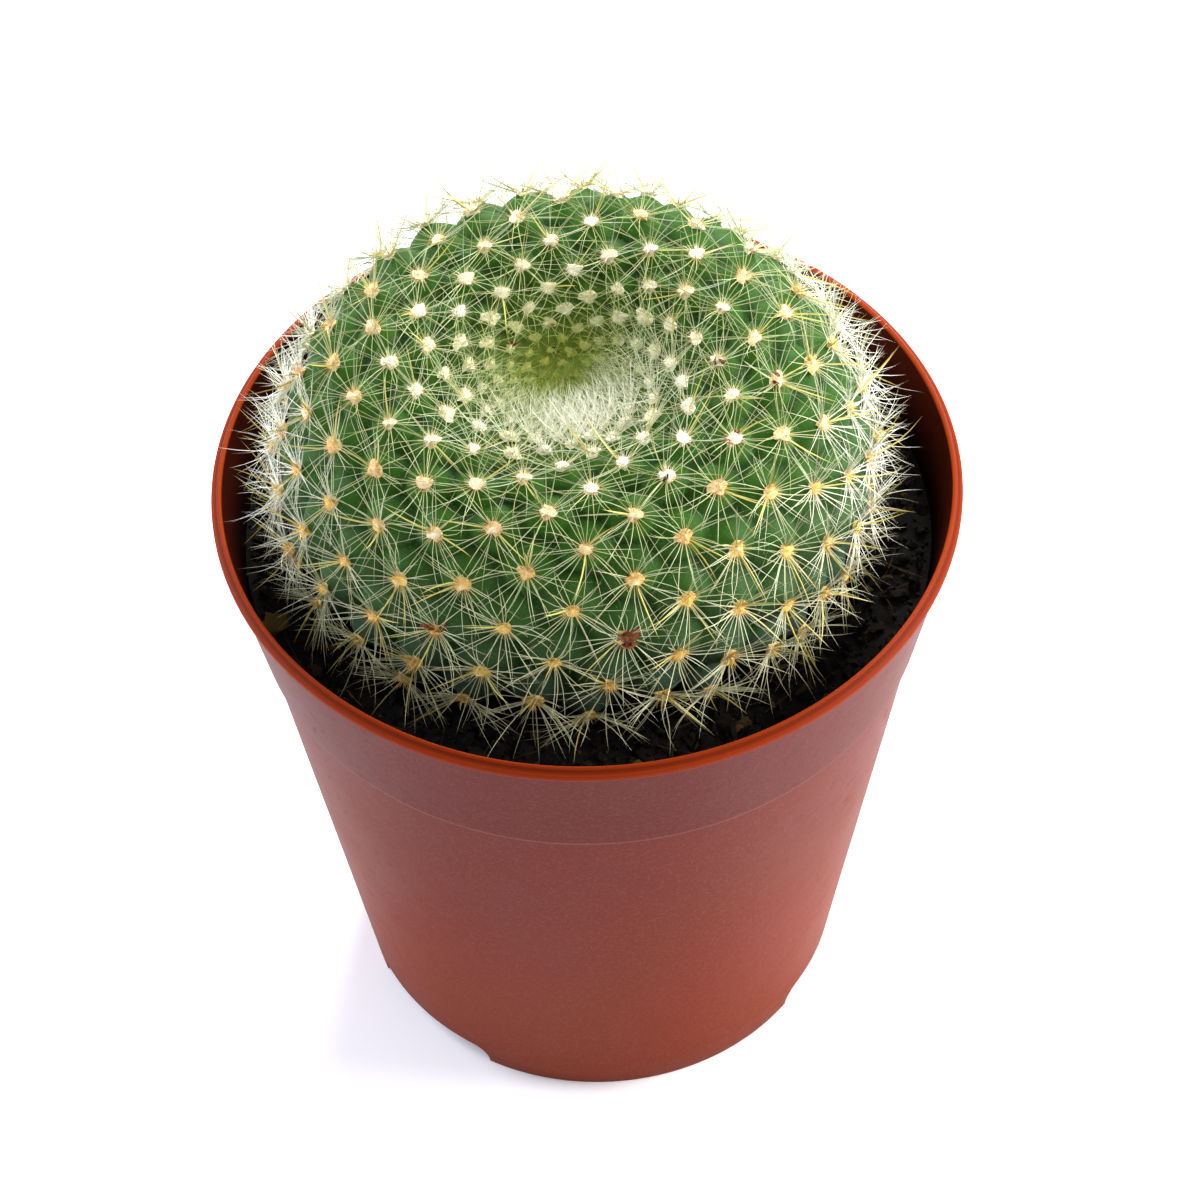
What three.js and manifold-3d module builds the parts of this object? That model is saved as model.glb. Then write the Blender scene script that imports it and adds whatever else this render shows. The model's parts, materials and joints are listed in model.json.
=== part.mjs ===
// A small round cactus in a round plastic nursery pot.
// Millimetres, +Z up. The origin is the centre of the circle that the pot's foot stands on,
// and the front of the plant faces -Y.

import * as THREE from "three";
import { ConvexHull } from "three/addons/math/ConvexHull.js";
import { mergeVertices } from "three/addons/utils/BufferGeometryUtils.js";
import Module from "manifold-3d";

const wasm = await Module();
wasm.setup();

const TURN = 2 * Math.PI;
const radians = THREE.MathUtils.degToRad;
const UP = new THREE.Vector3(0, 0, 1);

// What rests in something else keeps this much clear of it
const GAP = 0.3;

// The pot, an 85 mm round nursery pot
const POT_HEIGHT = 79;
const POT_SIDES = 72;
const RIM_RADIUS = 42.5;
const LIP_WIDTH = 1.2;
const BEAD_DEPTH = 0.8;
const LIP_DEPTH = 1.8;
const LIP_ROUNDING = 0.3;
const WALL = 0.8;
const COLLAR_TOP_RADIUS = 41.9;
const COLLAR_DEPTH = 17.7;
const COLLAR_FOOT_RADIUS = 38.7;
const COLLAR_STEP = 0.5;
const FOOT_RADIUS = 28.4;
const FOOT_DRAFT = 0.5;
const FLOOR_UNDERSIDE = 3.2;
const FLOOR_TOP = 4.2;
const NOTCHES = 3;
const NOTCH_AZIMUTH = radians(221);
const NOTCH_WIDTH = 19;
const NOTCH_HEIGHT = 2.8;
const NOTCH_SHOULDER = 2;
const DRAIN_HOLES = 6;
const DRAIN_RADIUS = 2.5;
const DRAIN_CIRCLE = 17;
const DRAIN_SIDES = 12;

// The soil, which is smooth where the plant stands and lumpy between plant and wall
const SOIL_LEVEL = 69.5;
const SOIL_SIDES = 56;
const LUMPY_FROM = 30.5;
const LUMP_RINGS = 4;
const LUMP_HEIGHT = 0.45;
const LUMP_PITCH = 6;
const LUMP_SLANT = 0.6;

// The plant's body: a flattened round body with a sunken crown, a little oval and leaning
// forward. Its own origin is the centre of its widest circle.
const BODY_CENTRE = new THREE.Vector3(-1.3, -1.1, 83.5);
const LEAN_FORWARD = radians(11.1);
const LEAN_SIDEWAYS = radians(-2.35);
const BODY_RADIUS = 32.2;
const BODY_HALF_HEIGHT = 24.1;
const OUTWARD_POWER = 0.45;
const UPWARD_POWER = 1.33;
const OVAL = 0.047;
const CROWN_DEPTH = 10.5;
const CROWN_WIDTH = 12.1;
const LAST_ANGLE = radians(155);
const STATIONS = 400;
const BURIED_DEPTH = 15;
const BURIED_SIDES = 40;
const BURIED_RINGS = 5;
const NECK_ABOVE_SOIL = 0.7;

// The tubercles, each with one areole at its tip, on the spiral that gives 11 and 18 rows
const DIVERGENCE = radians(99.457);
const FIRST_AZIMUTH = radians(346.7);
const FIRST_AREOLE = 16;
const CROWN_CELL = 3.74;
const GROWN_CELL = 87.2;
const CELL_GROWTH = 26.8;
const CELL_SHRINK = 0.739;
const LOWEST_AREOLE = 2.4;
const GROOVE = 0.3;

// The woolly tuft on each tubercle, a low button whose flank the spines stand on
const TUFT_RADIUS = 0.95;
const TUFT_SHARE = 0.6;
const TUFT_RISE = 0.35;
const TUFT_AIR = 4;

// The spines, which are fused to the tufts: lengths and how steeply they stand up, round a tuft
// of the crown and round the others, which have one central spine each
const CROWN_AREOLES = 80;
const CROWN_STAR = [
  { length: 4.8, lift: radians(56) },
  { length: 4.8, lift: radians(56) },
];
const STAR = [
  { length: 6.9, lift: radians(24) },
  { length: 6.9, lift: radians(24) },
  { length: 6.9, lift: radians(24) },
  { length: 8.2, lift: radians(80) },
];
const STAR_TURN = 0.382;
const SPINE_WIDTH = 0.42;

// A spine is swung and bent up in steps until it is clear of everything else
const SPINE_CLEARANCE = 1.1;
const SPINE_SPACING = 0.42;
const BEND_TRIES = 400;
const BEND_LIFT = radians(0.4);
const BEND_SWING = radians(7);
const BEND_UP = 0.015;
const CHECKED_SHARES = [0.4, 0.7, 1];

// A closed geometry as a solid
function solidOf(geometry) {
  const bare = geometry.clone();
  bare.deleteAttribute("normal");
  bare.deleteAttribute("uv");
  const merged = mergeVertices(bare, 1e-4);
  const index = merged.index.array;
  const corners = [];
  for (let i = 0; i < index.length; i += 3) {
    const [a, b, c] = index.slice(i, i + 3);
    if (a !== b && b !== c && c !== a) corners.push(a, b, c);
  }
  return new wasm.Manifold(
    new wasm.Mesh({
      numProp: 3,
      vertProperties: new Float32Array(merged.attributes.position.array),
      triVerts: new Uint32Array(corners),
    }),
  );
}

// Points and triangles, given as corner numbers, as a geometry
function geometryFrom(points, corners) {
  const geometry = new THREE.BufferGeometry().setFromPoints(points);
  geometry.setIndex(corners);
  return geometry;
}

// A solid as a geometry
function geometryOf(solid) {
  const { vertProperties, triVerts } = solid.getMesh();
  const geometry = new THREE.BufferGeometry();
  geometry.setAttribute("position", new THREE.BufferAttribute(vertProperties, 3));
  geometry.setIndex(new THREE.BufferAttribute(triVerts, 1));
  return geometry;
}

function named(name, geometry, material) {
  geometry.computeVertexNormals();
  const mesh = new THREE.Mesh(geometry, material);
  mesh.name = name;
  return mesh;
}

// A profile of [radius, height] points, listed up the outside, turned round the Z axis
function turned(profile, sides) {
  const points = profile.map(([radius, height]) => new THREE.Vector2(radius, height));
  return new THREE.LatheGeometry(points, sides).rotateX(Math.PI / 2);
}

// The pot

// The wall's inner face, from the floor up to the lip
const COLLAR_FOOT = POT_HEIGHT - COLLAR_DEPTH;
const INNER_WALL = [
  [FOOT_RADIUS - WALL + FOOT_DRAFT, FLOOR_TOP],
  [COLLAR_FOOT_RADIUS - COLLAR_STEP - WALL, COLLAR_FOOT - COLLAR_STEP],
  [COLLAR_FOOT_RADIUS - WALL, COLLAR_FOOT],
  [RIM_RADIUS - LIP_WIDTH, POT_HEIGHT - LIP_ROUNDING],
];

// The inner radius of the wall at a height
function wallRadius(height) {
  const upper = Math.max(1, INNER_WALL.findIndex(([, top]) => top > height));
  const [[innerRadius, low], [outerRadius, high]] = INNER_WALL.slice(upper - 1, upper + 1);
  return THREE.MathUtils.mapLinear(height, low, high, innerRadius, outerRadius);
}

function potSolid() {
  const beadFoot = POT_HEIGHT - BEAD_DEPTH;
  const outside = [
    [0, FLOOR_UNDERSIDE],
    [FOOT_RADIUS - WALL, FLOOR_UNDERSIDE],
    [FOOT_RADIUS - WALL, 0],
    [FOOT_RADIUS, 0],
    [COLLAR_FOOT_RADIUS - COLLAR_STEP, COLLAR_FOOT - COLLAR_STEP],
    [COLLAR_FOOT_RADIUS, COLLAR_FOOT],
    [COLLAR_TOP_RADIUS, POT_HEIGHT - LIP_DEPTH],
    [RIM_RADIUS, POT_HEIGHT - LIP_DEPTH + LIP_ROUNDING],
    [RIM_RADIUS, beadFoot],
    [RIM_RADIUS - LIP_WIDTH / 2, beadFoot + LIP_ROUNDING],
    [RIM_RADIUS - LIP_WIDTH / 2, POT_HEIGHT - LIP_ROUNDING],
    [RIM_RADIUS - LIP_WIDTH + LIP_ROUNDING, POT_HEIGHT],
  ];
  const inside = [...INNER_WALL].reverse();
  const body = solidOf(turned([...outside, ...inside, [0, FLOOR_TOP]], POT_SIDES));
  return body.subtract(notches()).subtract(drainHoles());
}

// The gaps in the foot ring that let water out
function notches() {
  const side = NOTCH_WIDTH / 2;
  const arch = new THREE.Shape([
    new THREE.Vector2(-side, -NOTCH_HEIGHT),
    new THREE.Vector2(side, -NOTCH_HEIGHT),
    new THREE.Vector2(side - NOTCH_SHOULDER / 2, NOTCH_HEIGHT - NOTCH_SHOULDER / 2),
    new THREE.Vector2(side - NOTCH_SHOULDER, NOTCH_HEIGHT),
    new THREE.Vector2(NOTCH_SHOULDER - side, NOTCH_HEIGHT),
    new THREE.Vector2(NOTCH_SHOULDER / 2 - side, NOTCH_HEIGHT - NOTCH_SHOULDER / 2),
  ]);
  const reach = FOOT_RADIUS / 2;
  const cuts = Array.from({ length: NOTCHES }, (_, i) =>
    solidOf(
      new THREE.ExtrudeGeometry(arch, { depth: reach, bevelEnabled: false })
        .rotateX(Math.PI / 2)
        .translate(0, FOOT_RADIUS + reach / 4, 0)
        .rotateZ(NOTCH_AZIMUTH + (i * TURN) / NOTCHES - Math.PI / 2),
    ),
  );
  return cuts.reduce((all, cut) => all.add(cut));
}

// A ring of round holes in the floor, and one in its middle
function drainHoles() {
  const hole = (x, y) =>
    solidOf(
      new THREE.CylinderGeometry(DRAIN_RADIUS, DRAIN_RADIUS, 3 * FLOOR_TOP, DRAIN_SIDES)
        .rotateX(Math.PI / 2)
        .translate(x, y, 0),
    );
  let holes = hole(0, 0);
  for (let i = 0; i < DRAIN_HOLES; i++) {
    const azimuth = (i * TURN) / DRAIN_HOLES;
    holes = holes.add(hole(DRAIN_CIRCLE * Math.cos(azimuth), DRAIN_CIRCLE * Math.sin(azimuth)));
  }
  return holes;
}

// The plant's body

// The radius and height of the body's outline at an angle from the crown to the foot
function bodyOutline(angle) {
  const upright = Math.cos(angle);
  const radius = BODY_RADIUS * Math.sin(angle) ** OUTWARD_POWER;
  const dome = Math.sign(upright) * BODY_HALF_HEIGHT * Math.abs(upright) ** UPWARD_POWER;
  return { radius, height: dome - CROWN_DEPTH * Math.exp(-((radius / CROWN_WIDTH) ** 2)) };
}

// The skin that one tubercle takes up, which grows with the way from the crown
function cellArea(way) {
  const grown = 1 - Math.exp(-((way / CELL_GROWTH) ** 2));
  return CROWN_CELL + (GROWN_CELL - CROWN_CELL) * grown - CELL_SHRINK * way;
}

// Stations down the outline. Each holds the number of tubercles above it, and a stretch that
// lays the skin on a ball without changing its angles.
function bodyStations() {
  const stations = [{ ...bodyOutline(0), count: 0, stretch: 0 }];
  let way = 0;
  for (let i = 1; i <= STATIONS; i++) {
    const last = stations[i - 1];
    const next = bodyOutline((i / STATIONS) * LAST_ANGLE);
    const step = Math.hypot(next.radius - last.radius, next.height - last.height);
    const radius = (next.radius + last.radius) / 2;
    const count = last.count + (TURN * radius * step) / cellArea(way + step / 2);
    const stretch = i === 1 ? Math.log(next.radius / BODY_RADIUS) : last.stretch + step / radius;
    way += step;
    stations.push({ ...next, count, stretch });
  }
  return stations;
}

const STATION_LIST = bodyStations();
const BODY_PLACE = new THREE.Matrix4()
  .makeRotationY(LEAN_SIDEWAYS)
  .multiply(new THREE.Matrix4().makeRotationX(LEAN_FORWARD))
  .setPosition(BODY_CENTRE);

// A point on the skin, with the way out of the skin there and its place on the ball.
// Where it lies down the outline is a station's number, with a fraction.
function skinPoint(azimuth, down) {
  const above = Math.min(Math.floor(down), STATIONS - 1);
  const [last, next] = STATION_LIST.slice(above, above + 2);
  const between = (key) => THREE.MathUtils.lerp(last[key], next[key], down - above);
  const [radius, height] = [between("radius"), between("height")];
  const [east, north] = [Math.cos(azimuth), Math.sin(azimuth)];
  const point = new THREE.Vector3(radius * east * (1 + OVAL), radius * north * (1 - OVAL), height);
  const [rise, run] = [last.height - next.height, next.radius - last.radius];
  const polar = 2 * Math.atan(Math.exp(between("stretch")));
  const ballRadius = Math.sin(polar);
  return {
    point: point.applyMatrix4(BODY_PLACE),
    outward: new THREE.Vector3(rise * east, rise * north, run).transformDirection(BODY_PLACE),
    onBall: new THREE.Vector3(ballRadius * east, ballRadius * north, Math.cos(polar)),
  };
}

// The areoles down the spiral, as far as the soil
function areoles() {
  const found = [];
  let above = 0;
  for (let number = FIRST_AREOLE; number < STATION_LIST[STATIONS].count; number++) {
    while (STATION_LIST[above + 1].count < number) above++;
    const [last, next] = STATION_LIST.slice(above, above + 2);
    const down = above + (number - last.count) / (next.count - last.count);
    const areole = skinPoint(FIRST_AZIMUTH - number * DIVERGENCE, down);
    if (areole.point.z > SOIL_LEVEL + LOWEST_AREOLE) found.push({ ...areole, number });
  }
  return found;
}

// The level ring round the body just above the soil
function neckRing() {
  const ring = [];
  for (let i = 0; i < BURIED_SIDES; i++) {
    const azimuth = (i * TURN) / BURIED_SIDES;
    let down = STATIONS;
    while (skinPoint(azimuth, down).point.z < SOIL_LEVEL + NECK_ABOVE_SOIL) down--;
    ring.push(skinPoint(azimuth, down + 0.5));
  }
  for (const { point } of ring) point.z = SOIL_LEVEL + NECK_ABOVE_SOIL;
  return ring;
}

// The rings of the buried part, which rounds off under the soil. Made larger all round, it
// cuts the hole that it stands in.
function buriedRings(ring, larger) {
  const rings = [];
  for (let i = 0; i < BURIED_RINGS; i++) {
    const angle = (i / BURIED_RINGS) * (TURN / 4);
    rings.push(
      ring.map(({ point }) => {
        const across = new THREE.Vector3(point.x - BODY_CENTRE.x, point.y - BODY_CENTRE.y, 0);
        across.setLength((across.length() + larger) * Math.cos(angle));
        const depth = (BURIED_DEPTH + larger) * Math.sin(angle);
        const level = i === 0 ? point.z : SOIL_LEVEL - depth;
        return across.add(new THREE.Vector3(BODY_CENTRE.x, BODY_CENTRE.y, level));
      }),
    );
  }
  return rings;
}

// Skins ring after ring downwards, from the first points on, and closes the lowest with a point
function closeDownwards(rings, bottom, points, corners) {
  const sides = rings[0].length;
  const firsts = rings.map((ring, i) => (i === 0 ? 0 : points.push(...ring) - sides));
  for (let i = 0; i < rings.length; i++) {
    const tip = i === rings.length - 1 ? points.push(bottom) - 1 : undefined;
    for (let j = 0; j < sides; j++) {
      const k = (j + 1) % sides;
      const [a, b] = [firsts[i] + j, firsts[i] + k];
      if (tip !== undefined) corners.push(a, tip, b);
      else corners.push(a, firsts[i + 1] + j, firsts[i + 1] + k, a, firsts[i + 1] + k, b);
    }
  }
}

// The triangles between neighbouring areoles, from the ball that the skin is laid on
function neighbours(spots) {
  const numbers = new Map(spots.map(({ onBall }, i) => [onBall, i]));
  const { faces } = new ConvexHull().setFromPoints([...numbers.keys()]);
  return faces.map(({ edge }) =>
    [edge.prev, edge, edge.next].map((side) => numbers.get(side.head().point)),
  );
}

// The grooves between the tubercles: the lowest point in each triangle of neighbours, kept
// under the triangle's directed sides, with the corner that follows each side
function grooveNet(spots, isTip, points) {
  const net = new Map();
  for (const face of neighbours(spots)) {
    if (!face.some(isTip)) continue;
    const [a, b, c] = face.map((i) => spots[i].point);
    const size = (a.distanceTo(b) + b.distanceTo(c) + c.distanceTo(a)) / 3;
    const inward = b.clone().sub(a).cross(c.clone().sub(a)).setLength(-GROOVE * size);
    const groove = points.push(a.clone().add(b).add(c).divideScalar(3).add(inward)) - 1;
    face.forEach((from, i) => {
      const [to, next] = [face[(i + 1) % 3], face[(i + 2) % 3]];
      net.set(`${from} ${to}`, { from, to, groove, next });
    });
  }
  return net;
}

// Skins the band between an outer and an inner ring of points, both in order of their angle
function skinBand(outer, inner, corners) {
  const angleAt = (ring, i) => ring[i % ring.length].angle + TURN * Math.floor(i / ring.length);
  const middle = (ring, i) => angleAt(ring, i) + angleAt(ring, i + 1);
  let [i, j] = [0, 0];
  while (i < outer.length || j < inner.length) {
    const [from, last] = [outer[i % outer.length].number, inner[j % inner.length].number];
    if (j >= inner.length || (i < outer.length && middle(outer, i) < middle(inner, j))) {
      i++;
      corners.push(from, outer[i % outer.length].number, last);
    } else {
      j++;
      corners.push(from, inner[j % inner.length].number, last);
    }
  }
}

// The body with its tufts and spines, as one closed skin
function cactusGeometry() {
  const tips = areoles();
  const ring = neckRing();
  const isTip = (i) => i < tips.length;
  const points = ring.map(({ point }) => point);
  const corners = [];
  const net = grooveNet([...tips, ...ring], isTip, points);
  const firstBeside = new Map();

  for (const { from, to, groove } of net.values()) {
    if (isTip(from)) firstBeside.set(from, to);
    else if (isTip(to)) corners.push(from - tips.length, net.get(`${to} ${from}`).groove, groove);
    else corners.push(from - tips.length, to - tips.length, groove);
  }

  // What the spines keep clear of: the air straight out of each tuft, then each other
  const kept = tips.map(({ point, outward, number }) => ({
    line: new THREE.Line3(point, point.clone().addScaledVector(outward, TUFT_AIR)),
    number,
  }));
  tips.forEach((tip, i) => {
    const grooves = [];
    let beside = firstBeside.get(i);
    do {
      const { groove, next } = net.get(`${i} ${beside}`);
      grooves.push(groove);
      beside = next;
    } while (beside !== firstBeside.get(i));
    tubercle(tip, grooves, tips, kept, points, corners);
  });
  const bottom = new THREE.Vector3(BODY_CENTRE.x, BODY_CENTRE.y, SOIL_LEVEL - BURIED_DEPTH);
  closeDownwards(buriedRings(ring, 0), bottom, points, corners);
  return geometryFrom(points, corners);
}

// The way along the skin at an angle from its steepest way up
function alongSkin(outward) {
  const ahead = UP.clone().projectOnPlane(outward).normalize();
  const left = outward.clone().cross(ahead);
  return (angle) =>
    ahead.clone().multiplyScalar(Math.cos(angle)).addScaledVector(left, Math.sin(angle));
}

// A ring of points round an areole, with their angles, from the smallest angle on
function byAngle(ring, { point, outward }, points) {
  const along = alongSkin(outward);
  const angles = ring.map((place) => {
    const way = points[place].clone().sub(point);
    const angle = Math.atan2(way.dot(along(TURN / 4)), way.dot(along(0)));
    return THREE.MathUtils.euclideanModulo(angle, TURN);
  });
  const first = angles.indexOf(Math.min(...angles));
  return ring.map((_, i) => {
    const k = (first + i) % ring.length;
    return { number: ring[k], angle: angles[k] };
  });
}

// One tubercle: from its ring of grooves up to the tuft, with the spines on the tuft's flank
function tubercle(tip, grooves, tips, kept, points, corners) {
  const { point, outward, number } = tip;
  const along = alongSkin(outward);
  const size = Math.min(...grooves.map((groove) => points[groove].distanceTo(point)));
  const radius = Math.min(TUFT_RADIUS, TUFT_SHARE * size);
  const innerRadius = Math.max(radius - SPINE_WIDTH, radius / 4);
  const halfWidth = Math.asin(SPINE_WIDTH / 2 / radius);
  const spines = number < CROWN_AREOLES ? CROWN_STAR : STAR;
  const rim = [];
  const top = [];
  spines.forEach(({ length, lift }, i) => {
    const angle = ((i + ((number * STAR_TURN) % 1)) * TURN) / spines.length;
    const sides = [angle - halfWidth, angle + halfWidth].map((side) => {
      const place = point.clone().addScaledVector(along(side), radius);
      return points.push(place.addScaledVector(outward, -TUFT_RISE)) - 1;
    });
    const inner = points.push(point.clone().addScaledVector(along(angle), innerRadius)) - 1;
    const root = point.clone().addScaledVector(along(angle), (radius + innerRadius) / 2);
    const aim = (swing, bend) =>
      along(angle + swing)
        .multiplyScalar(Math.cos(lift + bend * BEND_LIFT))
        .addScaledVector(outward, Math.sin(lift + bend * BEND_LIFT))
        .addScaledVector(UP, bend * BEND_UP)
        .setLength(length)
        .add(root);
    const peak = points.push(clearEnd(root, aim, tips, kept, number)) - 1;
    corners.push(sides[0], sides[1], peak, sides[1], inner, peak, inner, sides[0], peak);
    rim.push(...sides);
    top.push(inner);
  });

  // The tuft's flank between the spines, its flat top, and the tubercle's own flank
  top.forEach((inner, i) => {
    const j = (i + 1) % top.length;
    corners.push(rim[2 * i + 1], rim[2 * j], top[j], rim[2 * i + 1], top[j], inner);
    if (i > 0 && j > 0) corners.push(top[0], top[i], top[j]);
  });
  skinBand(byAngle(grooves, tip, points), byAngle(rim, tip, points), corners);
}

// The first end of a spine, swung and bent up step by step, that is clear of the soil, the
// wall, the body and the spines of the other areoles
function clearEnd(root, aim, tips, kept, number) {
  for (let i = 0; i < BEND_TRIES; i++) {
    const end = aim((i % 2 ? i : -i) * BEND_SWING, i / 2);
    const line = new THREE.Line3(root, end);
    if (clearOfPot(end) && clearOfPlant(line, tips, kept, number)) {
      kept.push({ line, number });
      return end;
    }
  }
  throw new Error(`A spine of areole ${number} has no room`);
}

// A spine stays inside the wall up to the rim, and above it no wider than the rim
function clearOfPot(end) {
  if (end.z < SOIL_LEVEL + LUMP_HEIGHT + SPINE_CLEARANCE) return false;
  const inPot = end.z < POT_HEIGHT + SPINE_CLEARANCE;
  const height = Math.min(end.z, POT_HEIGHT - LIP_DEPTH);
  const room = inPot ? wallRadius(height) - SPINE_CLEARANCE : RIM_RADIUS;
  return Math.hypot(end.x, end.y) < room;
}

// A spine stays clear of what is kept for the other areoles, and outside the skin
function clearOfPlant(line, tips, kept, number) {
  const squareDistance = (other) =>
    other.line.distanceSqToLine3(line, new THREE.Vector3(), new THREE.Vector3());
  const others = kept.filter((other) => other.number !== number);
  if (others.some((other) => squareDistance(other) < SPINE_SPACING ** 2)) return false;
  return CHECKED_SHARES.every((share) => {
    const place = line.at(share, new THREE.Vector3());
    const distance = ({ point }) => point.distanceToSquared(place);
    const nearest = tips.reduce((best, tip) => (distance(tip) < distance(best) ? tip : best));
    return place.clone().sub(nearest.point).dot(nearest.outward) > SPINE_SPACING;
  });
}

// The soil

// How far the soil's surface rises or falls at a place
function lump(x, y) {
  const wave = (along) => Math.sin((along * TURN) / LUMP_PITCH);
  return (LUMP_HEIGHT * (wave(x) * wave(y) + wave(LUMP_SLANT * x + y))) / 2;
}

function soilSolid() {
  const edge = INNER_WALL.filter(([, height]) => height < SOIL_LEVEL);
  const profile = edge.map(([radius, height]) => [radius - GAP, height]);
  profile[0][1] += GAP;
  const edgeRadius = wallRadius(SOIL_LEVEL) - GAP;
  const rings = Array.from({ length: LUMP_RINGS + 1 }, (_, i) => [
    THREE.MathUtils.lerp(edgeRadius, LUMPY_FROM, i / LUMP_RINGS),
    SOIL_LEVEL,
  ]);
  const floor = FLOOR_TOP + GAP;
  const heap = turned([[0, floor], ...profile, ...rings, [0, SOIL_LEVEL]], SOIL_SIDES);
  const places = heap.attributes.position;
  for (let i = 0; i < places.count; i++) {
    const radius = Math.hypot(places.getX(i), places.getY(i));
    if (places.getZ(i) < SOIL_LEVEL || radius < LUMPY_FROM + 1) continue;
    places.setZ(i, SOIL_LEVEL + lump(places.getX(i), places.getY(i)));
  }
  return solidOf(heap).subtract(plantHole());
}

// The plain hole that the plant's buried part stands in
function plantHole() {
  const rings = buriedRings(neckRing(), GAP);
  const lid = rings[0].map((point) => point.clone().addScaledVector(UP, BURIED_DEPTH));
  const bottom = new THREE.Vector3(BODY_CENTRE.x, BODY_CENTRE.y, SOIL_LEVEL - BURIED_DEPTH - GAP);
  const points = [...lid];
  const corners = [];
  closeDownwards([lid, ...rings], bottom, points, corners);
  const middle = points.push(bottom.clone().setZ(lid[0].z)) - 1;
  for (let j = 0; j < BURIED_SIDES; j++) corners.push(middle, j, (j + 1) % BURIED_SIDES);
  return solidOf(geometryFrom(points, corners));
}

const terracottaPlastic = new THREE.MeshStandardMaterial({
  color: "#9c4b38",
  roughness: 0.45,
  metalness: 0,
});
const darkPeat = new THREE.MeshStandardMaterial({ color: "#1d1714", roughness: 1, metalness: 0 });
const greenSkin = new THREE.MeshStandardMaterial({ color: "#5d8a4a", roughness: 0.6, metalness: 0 });

const plant = new THREE.Group();
plant.add(
  named("pot", geometryOf(potSolid()), terracottaPlastic),
  named("soil", geometryOf(soilSolid()), darkPeat),
  named("cactus", cactusGeometry(), greenSkin),
);

export default plant;
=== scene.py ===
# %% [markdown]
# A small round cactus in a plastic nursery pot.
#
# The solid model of the plant is loaded first and stays as it is: three solids for the pot, the
# soil and the cactus. This lesson replaces each of them with a finer piece of the same form, and
# then adds what is too fine for a solid: soil crumbs, wool, and more than seven thousand spines.

# %% Load the solids
import json
import math
import random

import bmesh
import bpy
from mathutils import Matrix, Vector, kdtree, noise

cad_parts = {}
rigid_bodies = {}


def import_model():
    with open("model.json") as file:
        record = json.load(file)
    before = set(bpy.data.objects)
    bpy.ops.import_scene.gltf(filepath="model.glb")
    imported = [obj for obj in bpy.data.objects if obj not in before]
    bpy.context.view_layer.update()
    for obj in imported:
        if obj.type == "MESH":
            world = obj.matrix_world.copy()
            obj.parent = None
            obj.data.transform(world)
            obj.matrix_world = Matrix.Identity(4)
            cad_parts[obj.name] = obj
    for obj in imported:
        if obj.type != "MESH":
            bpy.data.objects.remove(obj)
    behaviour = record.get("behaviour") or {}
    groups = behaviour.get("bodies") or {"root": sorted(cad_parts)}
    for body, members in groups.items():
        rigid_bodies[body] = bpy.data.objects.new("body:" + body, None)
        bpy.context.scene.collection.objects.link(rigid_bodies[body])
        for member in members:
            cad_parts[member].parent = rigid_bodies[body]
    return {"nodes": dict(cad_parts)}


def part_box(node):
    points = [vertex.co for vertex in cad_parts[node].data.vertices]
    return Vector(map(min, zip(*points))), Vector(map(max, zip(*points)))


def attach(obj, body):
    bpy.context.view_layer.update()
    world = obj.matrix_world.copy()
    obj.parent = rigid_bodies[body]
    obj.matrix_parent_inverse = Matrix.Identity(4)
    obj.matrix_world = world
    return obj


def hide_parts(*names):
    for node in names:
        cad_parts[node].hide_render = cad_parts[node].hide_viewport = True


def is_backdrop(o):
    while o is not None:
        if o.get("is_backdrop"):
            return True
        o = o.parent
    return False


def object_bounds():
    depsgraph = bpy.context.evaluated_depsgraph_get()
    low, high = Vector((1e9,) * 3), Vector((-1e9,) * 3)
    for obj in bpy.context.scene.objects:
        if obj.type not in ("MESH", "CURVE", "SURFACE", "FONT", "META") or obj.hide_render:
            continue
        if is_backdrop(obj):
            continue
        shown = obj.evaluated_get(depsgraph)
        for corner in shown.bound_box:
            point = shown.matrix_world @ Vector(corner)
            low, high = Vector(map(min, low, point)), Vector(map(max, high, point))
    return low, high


for thing in list(bpy.data.objects):
    bpy.data.objects.remove(thing)
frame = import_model()
solid_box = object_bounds()
print("solids:", sorted(frame["nodes"]))

# %% [markdown]
# The camera looks down on the plant from the front. Its place comes from the rim, the collar
# and the foot of the pot, which are circles of known size. It aims at a point in the middle
# of the rim, and then turns a little so that this point lands where it does in the photograph:
# turning keeps the lens free of shift.

# %% Camera
MM = 0.001
LENS, SENSOR = 150, 36
IMAGE_SIZE = 1200
LOOK_DOWN = math.radians(48.704)
DISTANCE = 565.94 * MM
AIM = Vector((0, 0, 77.7 * MM))
AIM_PIXEL = (590.49, 483.92)
ROLL = math.radians(1.83)

focal = IMAGE_SIZE * LENS / SENSOR
middle = IMAGE_SIZE / 2
turn_right = math.atan2(AIM_PIXEL[0] - middle, focal)
turn_down = math.atan2(middle - AIM_PIXEL[1], focal)
camera = bpy.data.objects.new("camera", bpy.data.cameras.new("camera"))
camera.data.lens = LENS
camera.data.sensor_width = SENSOR
camera.data.clip_start = 0.01
camera.matrix_world = (
    Matrix.Translation(AIM + DISTANCE * Vector((0, -math.cos(LOOK_DOWN), math.sin(LOOK_DOWN))))
    @ Matrix.Rotation(math.pi / 2 - LOOK_DOWN, 4, "X")
    @ Matrix.Rotation(turn_right, 4, "Y")
    @ Matrix.Rotation(-turn_down, 4, "X")
    @ Matrix.Rotation(-ROLL, 4, "Z")
)
bpy.context.scene.collection.objects.link(camera)
bpy.context.scene.camera = camera
bpy.context.scene.view_settings.view_transform = "Standard"
print("camera at", [round(x, 3) for x in camera.matrix_world.translation])

# %% [markdown]
# A material here is a node tree, and its sums are easier to read as Python than as wires. `Value`
# wraps the output of a node, and adds a Math node for each sum that it takes part in. `Finish` is
# one material. Its `node` method adds any other node, and `mix` blends two colours.

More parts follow.
